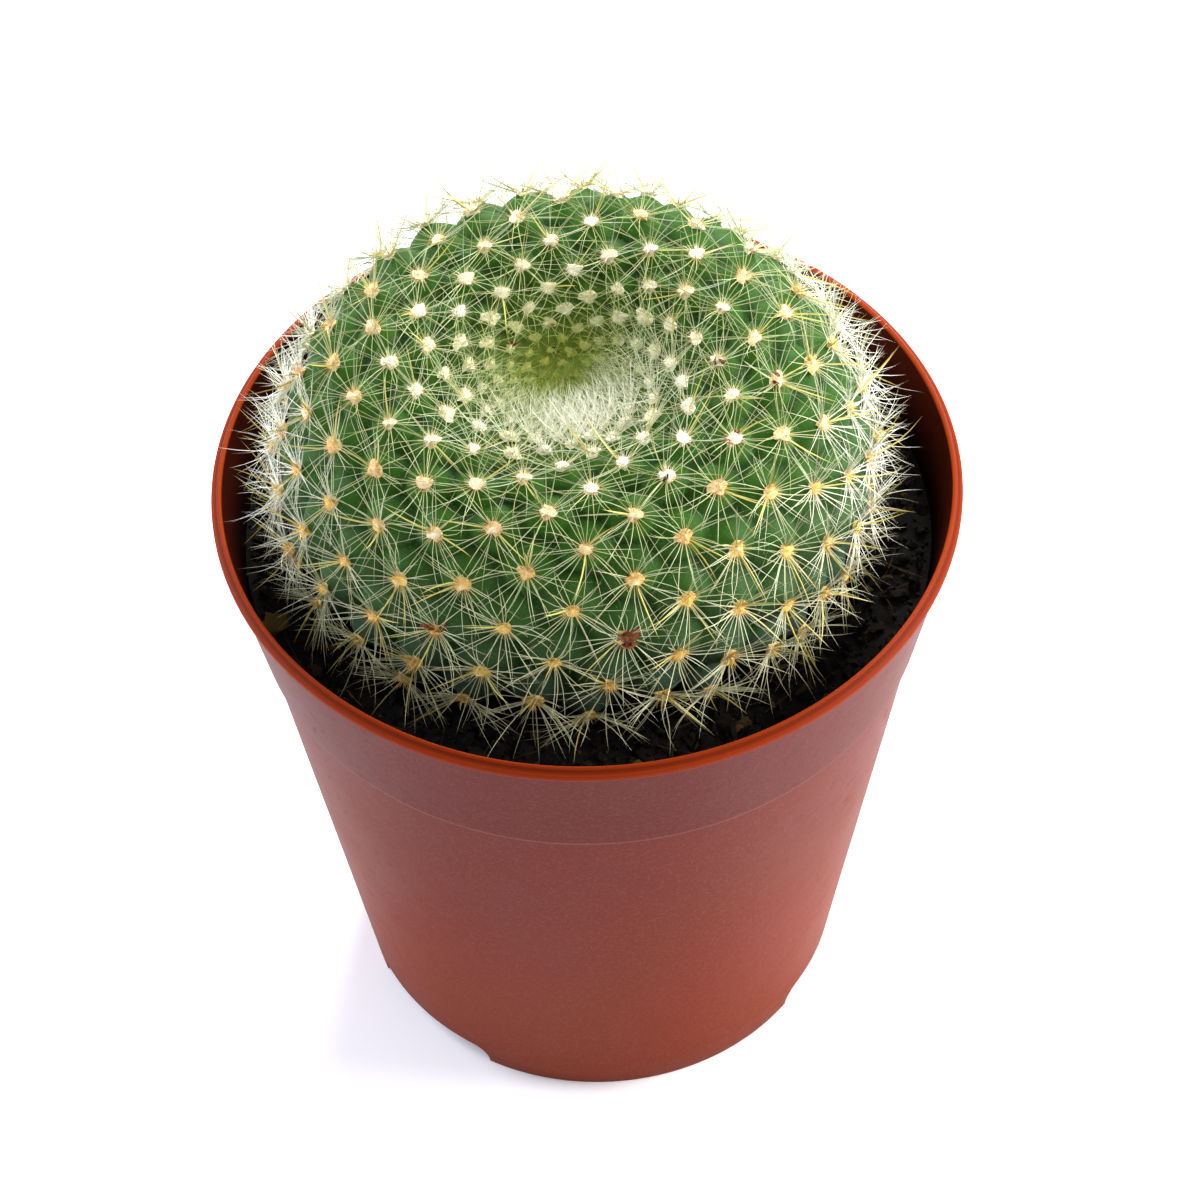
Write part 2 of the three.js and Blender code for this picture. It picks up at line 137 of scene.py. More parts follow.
# %% Shader values and finishes
class Value:
    """The output of a shader node, which takes part in Python's sums"""

    def __init__(self, finish, socket):
        self.finish, self.socket = finish, socket

    def sum(self, operation, first, second):
        return self.finish.node("ShaderNodeMath", {"operation": operation}, {0: first, 1: second})

    def __add__(self, other):
        return self.sum("ADD", self, other)

    __radd__ = __add__

    def __mul__(self, other):
        return self.sum("MULTIPLY", self, other)

    __rmul__ = __mul__

    def __sub__(self, other):
        return self.sum("SUBTRACT", self, other)

    def __rsub__(self, other):
        return self.sum("SUBTRACT", other, self)

    def __pow__(self, other):
        return self.sum("POWER", self, other)

    def between(self, low, high):
        """0 at low and beyond, 1 at high and beyond, and smooth between. Low may be the larger."""
        settings = {"interpolation_type": "SMOOTHSTEP"}
        return self.finish.node("ShaderNodeMapRange", settings, {0: self, 1: low, 2: high})


class Finish:
    """One material: a Principled shader and the nodes that feed it"""

    def __init__(self, name, **constants):
        self.material = bpy.data.materials.new(name)
        self.material.use_nodes = True
        self.tree = self.material.node_tree
        self.shader = self.tree.nodes["Principled BSDF"]
        for socket, number in constants.items():
            self.shader.inputs[socket.replace("_", " ")].default_value = number

    def node(self, kind, settings=None, inputs=None, output=0):
        """Adds a node, sets it and wires it up, and gives back one of its outputs"""
        made = self.tree.nodes.new(kind)
        for name, value in (settings or {}).items():
            setattr(made, name, value)
        for name, value in (inputs or {}).items():
            if isinstance(value, Value):
                self.tree.links.new(value.socket, made.inputs[name])
            else:
                made.inputs[name].default_value = value
        return Value(self, made.outputs[output])

    def place(self):
        """Where a point of the surface is, in metres"""
        return self.node("ShaderNodeTexCoord", output="Object")

    def across(self, axis):
        """One coordinate of that place, in millimetres"""
        return self.node("ShaderNodeSeparateXYZ", {}, {0: self.place()}, axis) * (1 / MM)

    def attribute(self, name):
        """A mark that the points of the mesh carry"""
        return self.node("ShaderNodeAttribute", {"attribute_name": name}, output="Fac")

    def noise(self, size, detail, roughness):
        """Noise from 0 to 1 whose bumps are about this many millimetres across"""
        inputs = {"Scale": 1 / (size * MM), "Detail": detail, "Roughness": roughness}
        return self.node("ShaderNodeTexNoise", {}, {"Vector": self.place(), **inputs})

    def mix(self, share, first, second):
        """A colour that goes from the first to the second as the share goes from 0 to 1"""
        return self.node("ShaderNodeMix", {"data_type": "RGBA"}, {0: share, 6: first, 7: second}, 2)

    def feed(self, **values):
        """Wires values to the shader's sockets of these names"""
        for socket, value in values.items():
            self.tree.links.new(value.socket, self.shader.inputs[socket.replace("_", " ")])

    def bump(self, height, depth, before=None):
        """Raises the surface by height, from 0 to 1, times this depth in millimetres"""
        inputs = {"Height": height, "Distance": depth * MM, "Strength": 1.0}
        if before:
            inputs["Normal"] = before
        return self.node("ShaderNodeBump", {}, inputs)


def tint(code):
    """A colour written as on a paint card, in the linear numbers that shaders use"""
    parts = [int(code[i : i + 2], 16) / 255 for i in (0, 2, 4)]
    return [((c + 0.055) / 1.055) ** 2.4 if c > 0.04 else c / 12.92 for c in parts] + [1]


# %% [markdown]
# Every piece is shaped in millimetres, like the solids' source, in a bmesh. `piece` scales it to
# metres, lets it ride with the solids, and gives it its finish.

# %% From a bmesh to a finished piece
SHARP = math.radians(40)
SECTORS = 10
WELD = 1e-4


def piece(name, shape, finish, replaces=None):
    """Makes a visible object of the shape. It may take the place of one of the solids."""
    bmesh.ops.scale(shape, vec=(MM, MM, MM), verts=shape.verts)
    for face in shape.faces:
        face.smooth = True
    mesh = bpy.data.meshes.new(name)
    shape.to_mesh(mesh)
    shape.free()
    mesh.set_sharp_from_angle(angle=SHARP)
    mesh.materials.append(finish.material)
    made = bpy.data.objects.new(name, mesh)
    bpy.context.scene.collection.objects.link(made)
    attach(made, "root")
    if replaces:
        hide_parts(replaces)
    mesh.calc_loop_triangles()
    print(f"{name}: {len(mesh.loop_triangles)} triangles")


def turned(shape, steps):
    """Turns the profile in the shape, in the XZ plane, a full turn round the Z axis. Blender spins a
    tenth of it, which is quick. Copies of that tenth close the ring, and points that meet are welded."""
    bmesh.ops.spin(
        shape, geom=shape.verts[:] + shape.edges[:], cent=(0, 0, 0), axis=(0, 0, 1),
        angle=math.tau / SECTORS, steps=steps // SECTORS, use_merge=False, use_duplicate=False,
    )
    sector = shape.verts[:] + shape.edges[:] + shape.faces[:]
    for i in range(1, SECTORS):
        copy = bmesh.ops.duplicate(shape, geom=sector)["geom"]
        points = [part for part in copy if isinstance(part, bmesh.types.BMVert)]
        turn = Matrix.Rotation(i * math.tau / SECTORS, 3, "Z")
        bmesh.ops.rotate(shape, cent=(0, 0, 0), matrix=turn, verts=points)
    bmesh.ops.remove_doubles(shape, verts=shape.verts, dist=WELD)
    bmesh.ops.recalc_face_normals(shape, faces=shape.faces)


def profile_bmesh(profile):
    """The points of a profile, given as (radius, height), joined in turn"""
    shape = bmesh.new()
    points = [shape.verts.new((radius, 0, height)) for radius, height in profile]
    for pair in zip(points, points[1:]):
        shape.edges.new(pair)
    return shape


# %% [markdown]
# The pot is injection moulded: a thin tapered wall, a collar that steps out a little, and a lip of
# two beads that stiffens the rim. All of that is one profile, spun. The rounding comes from a
# bevel on the profile's corners before the spin, because a mould has no sharp corners. One extra
# ring on the wall and one on the floor keep the cuts that come next away from the long faces.

# %% Pot shape
GAP = 0.3
POT_HEIGHT = 79
SOIL_LEVEL = 69.5
RIM_RADIUS = 42.5
LIP_WIDTH, LIP_DEPTH, LIP_ROUNDING, BEAD_DEPTH = 1.2, 1.8, 0.3, 0.8
WALL = 0.8
COLLAR_TOP_RADIUS, COLLAR_FOOT_RADIUS = 41.9, 38.7
COLLAR_FOOT = POT_HEIGHT - 17.7
COLLAR_STEP = 0.5
FOOT_RADIUS, FOOT_DRAFT = 28.4, 0.5
FLOOR_UNDERSIDE, FLOOR_TOP = 3.2, 4.2
POT_STEPS = 240
CORNER_ROUNDING = 0.14
WALL_SLOPE = (COLLAR_FOOT_RADIUS - COLLAR_STEP - FOOT_RADIUS) / (COLLAR_FOOT - COLLAR_STEP)
COLLAR_SLOPE = (RIM_RADIUS - COLLAR_FOOT_RADIUS) / (POT_HEIGHT - COLLAR_FOOT)
WALL_RING = 4.5
DRAIN_RING = 22

pot_profile = [
    (0, FLOOR_TOP),
    (DRAIN_RING, FLOOR_TOP),
    (FOOT_RADIUS - WALL + FOOT_DRAFT, FLOOR_TOP),
    (COLLAR_FOOT_RADIUS - COLLAR_STEP - WALL, COLLAR_FOOT - COLLAR_STEP),
    (COLLAR_FOOT_RADIUS - WALL, COLLAR_FOOT),
    (RIM_RADIUS - LIP_WIDTH, POT_HEIGHT - LIP_ROUNDING),
    (RIM_RADIUS - LIP_WIDTH + LIP_ROUNDING, POT_HEIGHT),
    (RIM_RADIUS - LIP_WIDTH / 2, POT_HEIGHT - LIP_ROUNDING),
    (RIM_RADIUS - LIP_WIDTH / 2, POT_HEIGHT - BEAD_DEPTH + LIP_ROUNDING),
    (RIM_RADIUS, POT_HEIGHT - BEAD_DEPTH),
    (RIM_RADIUS, POT_HEIGHT - LIP_DEPTH + LIP_ROUNDING),
    (COLLAR_TOP_RADIUS, POT_HEIGHT - LIP_DEPTH),
    (COLLAR_FOOT_RADIUS, COLLAR_FOOT),
    (COLLAR_FOOT_RADIUS - COLLAR_STEP, COLLAR_FOOT - COLLAR_STEP),
    (FOOT_RADIUS + WALL_SLOPE * WALL_RING, WALL_RING),
    (FOOT_RADIUS, 0),
    (FOOT_RADIUS - WALL, 0),
    (FOOT_RADIUS - WALL, FLOOR_UNDERSIDE),
    (DRAIN_RING, FLOOR_UNDERSIDE),
    (0, FLOOR_UNDERSIDE),
]
pot = profile_bmesh(pot_profile)
corners = [vertex for vertex in pot.verts if vertex.co.x > 0]
bmesh.ops.bevel(
    pot, geom=corners, offset=CORNER_ROUNDING, offset_type="OFFSET", segments=3,
    profile=0.5, affect="VERTICES", material=-1,
)
turned(pot, POT_STEPS)
print("pot rings:", len(pot.verts) // POT_STEPS)

# %% [markdown]
# The foot ring has three wide notches that let water out. The floor has drain holes, one in the
# middle and six round it. A boolean cuts both: the cutters are blocks with two bevelled upper
# edges, and short rods.

# %% Notches and drain holes
NOTCHES, NOTCH_AZIMUTH = 3, math.radians(221)
NOTCH_WIDTH, NOTCH_HEIGHT, NOTCH_SHOULDER = 19, 2.8, 2
DRAIN_HOLES, DRAIN_RADIUS, DRAIN_CIRCLE, DRAIN_STEPS = 6, 2.5, 17, 32

cutters = bmesh.new()
for i in range(NOTCHES):
    block = bmesh.ops.create_cube(cutters, size=1)["verts"]
    bmesh.ops.scale(cutters, vec=(FOOT_RADIUS / 2, NOTCH_WIDTH, 2 * NOTCH_HEIGHT), verts=block)
    upper = [e for v in block for e in v.link_edges if all(w.co.z > 0 and abs(w.co.y) > 1 for w in e.verts)]
    upper = [e for e in set(upper) if e.verts[0].co.y * e.verts[1].co.y > 0]
    rounded = bmesh.ops.bevel(
        cutters, geom=upper, offset=NOTCH_SHOULDER, offset_type="OFFSET", segments=5,
        profile=0.5, affect="EDGES", material=-1,
    )
    moved = list({v for v in block if v.is_valid} | set(rounded["verts"]))
    turn = Matrix.Rotation(NOTCH_AZIMUTH + i * math.tau / NOTCHES, 4, "Z")
    bmesh.ops.transform(cutters, matrix=turn @ Matrix.Translation((FOOT_RADIUS, 0, 0)), verts=moved)
for i in range(DRAIN_HOLES + 1):
    rod = bmesh.ops.create_cone(
        cutters, cap_ends=True, segments=DRAIN_STEPS, depth=3 * FLOOR_TOP,
        radius1=DRAIN_RADIUS, radius2=DRAIN_RADIUS,
    )["verts"]
    reach = DRAIN_CIRCLE if i else 0
    around = Matrix.Rotation(i * math.tau / DRAIN_HOLES, 4, "Z")
    bmesh.ops.transform(cutters, matrix=around @ Matrix.Translation((reach, 0, 0)), verts=rod)


def cut(shape, tools):
    """The shape without the room that the tools take"""
    meshes = [bpy.data.meshes.new(name) for name in ("cut_shape", "cut_tools")]
    shape.to_mesh(meshes[0])
    tools.to_mesh(meshes[1])
    objects = [bpy.data.objects.new(mesh.name, mesh) for mesh in meshes]
    for thing in objects:
        bpy.context.scene.collection.objects.link(thing)
    modifier = objects[0].modifiers.new("cut", "BOOLEAN")
    modifier.operation, modifier.solver, modifier.object = "DIFFERENCE", "EXACT", objects[1]
    finished = objects[0].evaluated_get(bpy.context.evaluated_depsgraph_get())
    result = bpy.data.meshes.new_from_object(finished)
    shape.clear()
    tools.free()
    shape.from_mesh(result)
    for thing in objects:
        bpy.data.objects.remove(thing)


cut(pot, cutters)
print("pot is closed:", all(edge.is_manifold for edge in pot.edges))

# %% [markdown]
# The plastic is a dull brick red with a satin face, darker in the collar and more orange towards
# the foot. The lip is painted a glowing orange for the light that passes through it, with painted
# shade in the groove between its beads and painted highlights on its edges. Inside, the wall has
# painted shade, darkest towards the soil. Handling leaves faint scuffs and a little dust, a painted
# highlight makes a paler line along the collar's edge, and the mould leaves a slight waviness.

# %% Pot finish
LIP_FOOT = POT_HEIGHT - LIP_DEPTH

plastic = Finish("brick_red_plastic", Specular_IOR_Level=0.05)
east, north, height = (plastic.across(axis) for axis in "XYZ")
lip = height.between(LIP_FOOT - 0.5, LIP_FOOT + 0.1)
collar = height.between(COLLAR_FOOT - 0.6, COLLAR_FOOT + 0.4)
cloudy = plastic.noise(14, 4, 0.6)
scuffed = plastic.noise(2.5, 6, 0.7).between(0.52, 0.75)
speckled = plastic.noise(0.35, 2, 0.5)
radial = (east * east + north * north) ** 0.5
outside = COLLAR_FOOT_RADIUS + (height - COLLAR_FOOT) * COLLAR_SLOPE
# Painted shade: inside the collar the wall takes a dark red, darkest towards the soil.
shaded_inside = (outside - radial).between(0.35, 0.7) * collar
wall_red = plastic.mix(cloudy, tint("64241C"), tint("6E2B1D"))
low_red = plastic.mix(cloudy, tint("752911"), tint("7E3015"))
collar_red = plastic.mix(cloudy, tint("5B1D17"), tint("632219"))
inner_shade_red = plastic.mix(height.between(POT_HEIGHT - 2, SOIL_LEVEL), tint("43140A"), tint("120504"))
red = plastic.mix(collar, plastic.mix(height.between(COLLAR_FOOT, 0), wall_red, low_red), collar_red)
# Painted highlight: a paler line along the collar's lower edge.
collar_edge_highlight = height.between(COLLAR_FOOT - 0.25, COLLAR_FOOT)
collar_edge_highlight *= height.between(COLLAR_FOOT + 0.4, COLLAR_FOOT + 0.15)
red = plastic.mix(scuffed * 0.08, red, tint("A86E60"))
red = plastic.mix(collar_edge_highlight * 0.25, red, tint("A8685C"))
red = plastic.mix(speckled.between(0.45, 0.7) * 0.07, red, tint("B88478"))
red = plastic.mix(shaded_inside, red, inner_shade_red)


def across_lip(start, end):
    """0 at the start and 1 at the end, which are distances in from the rim's outer edge"""
    return radial.between(RIM_RADIUS - start, RIM_RADIUS - end)


# Painted light on the lip: shade in the groove between its beads, and highlights on its lower edge and
# crest.
lip_groove_shade = across_lip(0.75, 0.55) * across_lip(0.2, 0.4)
edge = height.between(LIP_FOOT + 0.45, LIP_FOOT + 0.1)
crest_highlight = across_lip(0.85, 1.1)
# The lip's orange is a painted glow, for light passing through the thin plastic.
painted_lip_glow = plastic.mix(cloudy, tint("7D2505"), tint("8B2E08"))
painted_lip_glow = plastic.mix(edge + crest_highlight * 0.8, painted_lip_glow, tint("BE4A14"))
painted_lip_glow = plastic.mix(lip_groove_shade * 0.5, painted_lip_glow, tint("4A1403"))
# The lip's inner face keeps the painted shade of the inside.
inner_face = across_lip(0.95, 1.15) * height.between(POT_HEIGHT - 0.15, POT_HEIGHT - 0.6)
red = plastic.mix(lip * (1 - inner_face), red, painted_lip_glow)
gloss = 0.38 + 0.14 * cloudy + 0.14 * scuffed + 0.05 * speckled
plastic.feed(
    Base_Color=red, Roughness=gloss,
    Normal=plastic.bump(speckled, 0.02, plastic.bump(cloudy, 0.12)),
)
piece("pot_shell", pot, plastic, "pot")

# %% [markdown]
# The plant's body follows the same rule as in the solid. Its outline is a flattened round form
# with a sunken crown. Its areoles, the woolly spots that the spines grow from, lie on one long
# spiral: each is turned from the last by the same angle, and as far down as makes room for the
# skin that one tubercle needs. That alone gives the crossing rows that such a plant shows.

# %% Outline and spiral
BODY_CENTRE = Vector((-1.3, -1.1, 83.5))
LEAN_FORWARD, LEAN_SIDEWAYS = math.radians(11.1), math.radians(-2.35)
BODY_RADIUS, BODY_HALF_HEIGHT = 32.2, 24.1
OUTWARD_POWER, UPWARD_POWER = 0.45, 1.33
OVAL = 0.047
CROWN_DEPTH, CROWN_WIDTH = 10.5, 12.1
LAST_ANGLE = math.radians(155)
STATIONS = 400
DIVERGENCE, FIRST_AZIMUTH = math.radians(99.457), math.radians(346.7)
FIRST_AREOLE = 5
CROWN_CELL, GROWN_CELL, CELL_GROWTH, CELL_SHRINK = 3.74, 87.2, 26.8, 0.739
LOWEST_AREOLE = 2.4

body_place = (
    Matrix.Translation(BODY_CENTRE)
    @ Matrix.Rotation(LEAN_SIDEWAYS, 4, "Y")
    @ Matrix.Rotation(LEAN_FORWARD, 4, "X")
)


def outline(angle):
    """Radius and height of the outline, at an angle from the crown to the foot"""
    upright = math.cos(angle)
    radius = BODY_RADIUS * math.sin(angle) ** OUTWARD_POWER
    dome = math.copysign(BODY_HALF_HEIGHT * abs(upright) ** UPWARD_POWER, upright)
    return Vector((radius, dome - CROWN_DEPTH * math.exp(-((radius / CROWN_WIDTH) ** 2))))


def cell_area(way):
    """The skin that one tubercle takes up, this far down the outline from the crown"""
    grown = 1 - math.exp(-((way / CELL_GROWTH) ** 2))
    return CROWN_CELL + (GROWN_CELL - CROWN_CELL) * grown - CELL_SHRINK * way


def areoles():
    """The areoles, down the spiral to the soil. Each has its number, its spacing, its place, the
    way out from the skin there, and its local place, on the body before that is leaned."""
    found, count, way, last = [], 0, 0, outline(0)
    number = FIRST_AREOLE
    for i in range(1, STATIONS + 1):
        here = outline(i / STATIONS * LAST_ANGLE)
        step = (here - last).length
        area = cell_area(way + step / 2)
        more = math.tau * (here.x + last.x) / 2 * step / area
        while count + more >= number:
            radius, height = last.lerp(here, (number - count) / more)
            azimuth = FIRST_AZIMUTH - number * DIVERGENCE
            east, north = math.cos(azimuth), math.sin(azimuth)
            point = Vector((radius * east * (1 + OVAL), radius * north * (1 - OVAL), height))
            rise, run = last.y - here.y, here.x - last.x
            out = (body_place.to_3x3() @ Vector((rise * east, rise * north, run))).normalized()
            at = body_place @ point
            if at.z > SOIL_LEVEL + LOWEST_AREOLE:
                spacing = math.sqrt(area * 2 / math.sqrt(3))
                spot = {"at": at, "out": out, "number": number, "spacing": spacing, "local": point}
                found.append(spot)
            number += 1
        count, way, last = count + more, way + step, here
    return found


spots = areoles()
print(len(spots), "areoles")

# %% [markdown]
# The skin starts as that outline, spun. Each point of it then sinks by how far it is from the
# nearest areole, so that a rounded tubercle stands under each areole and grooves run between
# them. How high a point stands, and how near the heart of the crown, are kept for the finish.

# %% Body skin
SKIN_STEPS, SKIN_ROWS = 390, 232
GROOVE = 0.3
GROOVE_REACH = 0.577
GROOVE_POWER = 1.55
DEEPEST = 1.25
UNEVENNESS, UNEVEN_SIZE = 0.12, 5
BURIED_DEPTH = 14.5
BURIED_ROWS = 8
HEART_WIDTH = 6.5

rows = [outline(i / SKIN_ROWS * LAST_ANGLE) for i in range(SKIN_ROWS + 1)]
foot = rows[-1]
bottom = -BODY_CENTRE.z + SOIL_LEVEL - BURIED_DEPTH
for i in range(1, BURIED_ROWS + 1):
    angle = i / BURIED_ROWS * math.pi / 2
    rows.append(Vector((foot.x * math.cos(angle), foot.y + (bottom - foot.y) * math.sin(angle))))
rows[0].x = rows[-1].x = 0
skin = profile_bmesh(rows)
turned(skin, SKIN_STEPS)
for vertex in skin.verts:
    vertex.co.x *= 1 + OVAL
    vertex.co.y *= 1 - OVAL
skin.normal_update()

tips = kdtree.KDTree(len(spots))
for i, spot in enumerate(spots):
    tips.insert(spot["local"], i)
tips.balance()
rise_layer = skin.verts.layers.float.new("rise")
heart_layer = skin.verts.layers.float.new("heart")
moves = []
for vertex in skin.verts:
    _, index, distance = tips.find(vertex.co)
    spacing = spots[index]["spacing"]
    depth = min(distance / (GROOVE_REACH * spacing), DEEPEST) ** GROOVE_POWER
    wander = 1 + UNEVENNESS * noise.noise(vertex.co / UNEVEN_SIZE)
    vertex[rise_layer] = 1 - min(depth, 1)
    vertex[heart_layer] = math.exp(-((vertex.co.xy.length / HEART_WIDTH) ** 2))
    moves.append(vertex.normal * (-GROOVE * spacing * depth * wander))
for vertex, move in zip(skin.verts, moves):
    vertex.co += move
bmesh.ops.smooth_vert(
    skin, verts=skin.verts, factor=0.5, use_axis_x=True, use_axis_y=True, use_axis_z=True,
)
bmesh.ops.transform(skin, matrix=body_place, verts=skin.verts)

# %% [markdown]
# The skin is a waxy green, with painted shade that makes it darkest in the grooves. Down the flanks
# a grey bloom covers it, and near the soil it has a painted bluish sheen. The heart of the crown,
# the newest skin, is yellow-green, and painted lighter against the shade of its deep pit. Tiny pale
# dots, the pores, cover all of it.

# %% Skin finish
green = Finish("waxy_green_skin", Specular_IOR_Level=0.15)
rise = green.attribute("rise")
height = green.across("Z")
blotched = green.noise(4, 4, 0.6)
pores = green.noise(0.22, 1, 0.5).between(0.6, 0.72)
# Painted shade: where the rise is low, in the grooves, the skin takes a darker green.
groove_shade_green = green.mix(blotched, tint("123204"), tint("1A4607"))
side_green = green.mix(blotched, tint("265108"), tint("33620F"))
bloom_green = green.mix(blotched, tint("304F26"), tint("3F5E34"))
flank = green.mix(height.between(100, 80), side_green, bloom_green)
# Painted sheen: near the soil the flank turns a bluish grey, for the bluish light on it.
flank = green.mix(height.between(86, 74), flank, green.mix(blotched, tint("374B40"), tint("475C50")))
colour = green.mix(rise.between(0.05, 0.55), groove_shade_green, flank)
# The heart is yellow-green as new skin is, and painted lighter against the shade of its deep pit.
colour = green.mix(green.attribute("heart"), colour, tint("9DAE44"))
colour = green.mix(pores * 0.2, colour, tint("7FA068"))
green.feed(
    Base_Color=colour,
    Roughness=0.42 + 0.2 * blotched,
    Normal=green.bump(pores, 0.02, green.bump(blotched, 0.12)),
)
piece("cactus_body", skin, green, "cactus")

# %% [markdown]
# What repeats is made once and then copied. `add_copy` adds a copy of a small mesh to a bmesh at a
# place, and can mark all of its points with a number that the finish reads, such as a random tone.

# %% Copies of small shapes
draw = random.Random(11)


def small_mesh(name, shape):
    """The shape as a mesh. The bmesh itself is let go."""
    mesh = bpy.data.meshes.new(name)
    shape.to_mesh(mesh)
    shape.free()
    return mesh


def add_copy(shape, mesh, place, **marks):
    """Adds the mesh at a place, marks its points with these numbers, and gives them back"""
    start = len(shape.verts)
    shape.from_mesh(mesh)
    shape.verts.ensure_lookup_table()
    new = shape.verts[start:]
    bmesh.ops.transform(shape, matrix=place, verts=new)
    for name, number in marks.items():
        layer = shape.verts.layers.float[name]
        for vertex in new:
            vertex[layer] = number
    return new


def join(shape, parts):
    """Adds the small bmeshes to the shape. Adding to a small one first keeps the copying quick."""
    for part in parts:
        shape.from_mesh(small_mesh("part", part))


def marked_bmesh(*names):
    """An empty bmesh whose points can carry these marks"""
    shape = bmesh.new()
    for name in names:
        shape.verts.layers.float.new(name)
    return shape


def any_turn():
    """A turn in a random direction"""
    way = Vector([draw.gauss(0, 1) for _ in range(3)]).normalized()
    return Matrix.Rotation(draw.uniform(0, math.tau), 4, way)


def lump(height, roughness, fineness):
    """A small irregular lump about 1 across and this high"""
    shape = bmesh.new()
    bmesh.ops.create_icosphere(shape, subdivisions=fineness, radius=0.5)
    shift = Vector([draw.uniform(0, 50) for _ in range(3)])
    for vertex in shape.verts:
        vertex.co *= 1 + roughness * noise.noise(vertex.co * 2.4 + shift)
        vertex.co.z *= height
    return small_mesh("lump", shape)


# %% [markdown]
# One spine is a three-sided cone with a few rings, lying along X with its foot at the origin and a
# length and thickness of 1. Its thickness falls off late, so that it stays a needle almost to its
# tip. `add_spine` lays a copy of it along any way, with its own size and bend. The mark `along`
# runs from 0 at its foot to 1 at its tip, for its colour.

# %% One spine
SPINE_RINGS, HAIR_RINGS = 4, 2
SPINE_FULLNESS = 2.4


def needle(rings):
    """A spine of this many rings, 1 long and 1 thick"""
    shape = bmesh.new()
    bmesh.ops.create_cone(shape, cap_ends=True, segments=3, radius1=0.5, radius2=0, depth=1)
    bmesh.ops.remove_doubles(shape, verts=shape.verts, dist=1e-5)
    bmesh.ops.translate(shape, vec=(0, 0, 0.5), verts=shape.verts)
    long_edges = [e for e in shape.edges if abs(e.verts[0].co.z - e.verts[1].co.z) > 0.5]
    bmesh.ops.subdivide_edges(shape, edges=long_edges, cuts=rings - 1, use_grid_fill=True)
    along_layer = shape.verts.layers.float.new("along")
    for vertex in shape.verts:
        along = vertex.co.z
        vertex[along_layer] = along
        if along < 0.999:
            vertex.co.xy *= (1 - along**SPINE_FULLNESS) / (1 - along)
    bmesh.ops.rotate(shape, matrix=Matrix.Rotation(math.pi / 2, 3, "Y"), verts=shape.verts)
    return small_mesh("needle", shape)


long_needle, short_needle = needle(SPINE_RINGS), needle(HAIR_RINGS)
print("one spine:", len(long_needle.polygons), "faces")


def add_spine(shape, foot, way, length, thickness, bend, kind=long_needle, **marks):
    """Adds a spine that starts along way and ends off it by bend, a vector, times its length"""
    side = way.orthogonal().normalized()
    up = way.cross(side)
    place = Matrix((way * length, side * thickness, up * thickness)).transposed().to_4x4()
    new = add_copy(shape, kind, Matrix.Translation(foot) @ place, **marks)
    layer = shape.verts.layers.float["along"]
    for vertex in new:
        vertex.co += bend * (length * vertex[layer] ** 2)


# %% [markdown]
# Each areole has three directions of its own: the way up the skin, the way to the left, and the
# way out. A spine whose tip would reach past the rim, into the wall or into the soil is turned or
# shortened until it is clear. `youth` says how young an areole is, as the spiral runs from the
# youngest one to the oldest.

# %% Growing a star of spines
RIM_REACH = RIM_RADIUS - 0.3
TOP_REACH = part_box("cactus")[1].z / MM - 0.2
SOIL_CLEARANCE = 0.8
WALL_CLEARANCE = 0.8
TRIES, RAISE, SHORTEN = 40, 0.08, 0.96
FOOT_OUT, FOOT_UP = 0.35, 0.1
YOUNGEST, GROWN, AGEING = 8, 120, 175
TUFT_SHARE, YOUNG_TUFT_SHARE, TUFT_SPREAD = 0.29, 0.04, (0.88, 1.12)
SMALLEST_TUFT, LARGEST_TUFT = 0.5, 0.97


def wall_radius(height):
    """The inner radius of the pot at a height in its collar"""
    share = (height - COLLAR_FOOT) / (POT_HEIGHT - LIP_ROUNDING - COLLAR_FOOT)
    low = COLLAR_FOOT_RADIUS - WALL
    return low + min(share, 1) * (RIM_RADIUS - LIP_WIDTH - low)


def directions(spot):
    """The ways up the skin, to the left and out, at an areole"""
    out = spot["out"]
    ahead = (Vector((0, 0, 1)) - out * out.z).normalized()
    return ahead, out.cross(ahead), out


def ramp(value, start, width):
    """0 up to the start, 1 from a width further on, and in proportion between"""
    return min(max((value - start) / width, 0), 1)


def youth(spot):
    """1 at the heart of the crown and 0 on grown areoles"""
    return ramp(GROWN - spot["number"], 0, GROWN - YOUNGEST)


def off(bend, way):
    """The part of a bend that lies across the way"""
    return bend - way * bend.dot(way)


def clear_way(foot, way, length, bend=Vector()):
    """The way and length of a spine, changed as little as keeps its tip clear of soil, wall and rim"""
    for _ in range(TRIES):
        end = foot + (way + off(bend, way)) * length
        reach = wall_radius(end.z) - WALL_CLEARANCE if end.z < POT_HEIGHT + 1 else RIM_REACH
        if end.z < SOIL_LEVEL + SOIL_CLEARANCE:
            way = (way + Vector((0, 0, RAISE))).normalized()
        elif math.hypot(end.x, end.y) > reach or end.z > TOP_REACH:
            length *= SHORTEN
        else:
            break
    return way, length


def grow(shape, spot, angle, lift, length, thickness, wander, **marks):
    """One spine of an areole. Its foot stands in the tuft, angle round it and lifted off the skin."""
    ahead, left, out = directions(spot)
    flat = ahead * math.cos(angle) + left * math.sin(angle)
    way = flat * math.cos(lift) + out * math.sin(lift)
    foot = spot["at"] + flat * (FOOT_OUT * spot["tuft"]) + out * (FOOT_UP * spot["tuft"])
    bend = Vector([draw.gauss(0, wander) for _ in range(3)])
    way, length = clear_way(foot, way, length, bend)
    add_spine(shape, foot, way, length, thickness, off(bend, way), **marks)


for spot in spots:
    tuft = (TUFT_SHARE + YOUNG_TUFT_SHARE * youth(spot)) * spot["spacing"]
    spot["tuft"] = min(max(tuft, SMALLEST_TUFT), LARGEST_TUFT) * draw.uniform(*TUFT_SPREAD)
    spot["age"] = 1 - youth(spot) if spot["number"] < GROWN else 1 + (spot["number"] - GROWN) / AGEING
    spot["tone"] = draw.random()
sizes = [spot["tuft"] for spot in spots]
print("wool tufts in mm:", round(min(sizes), 2), "to", round(max(sizes), 2))
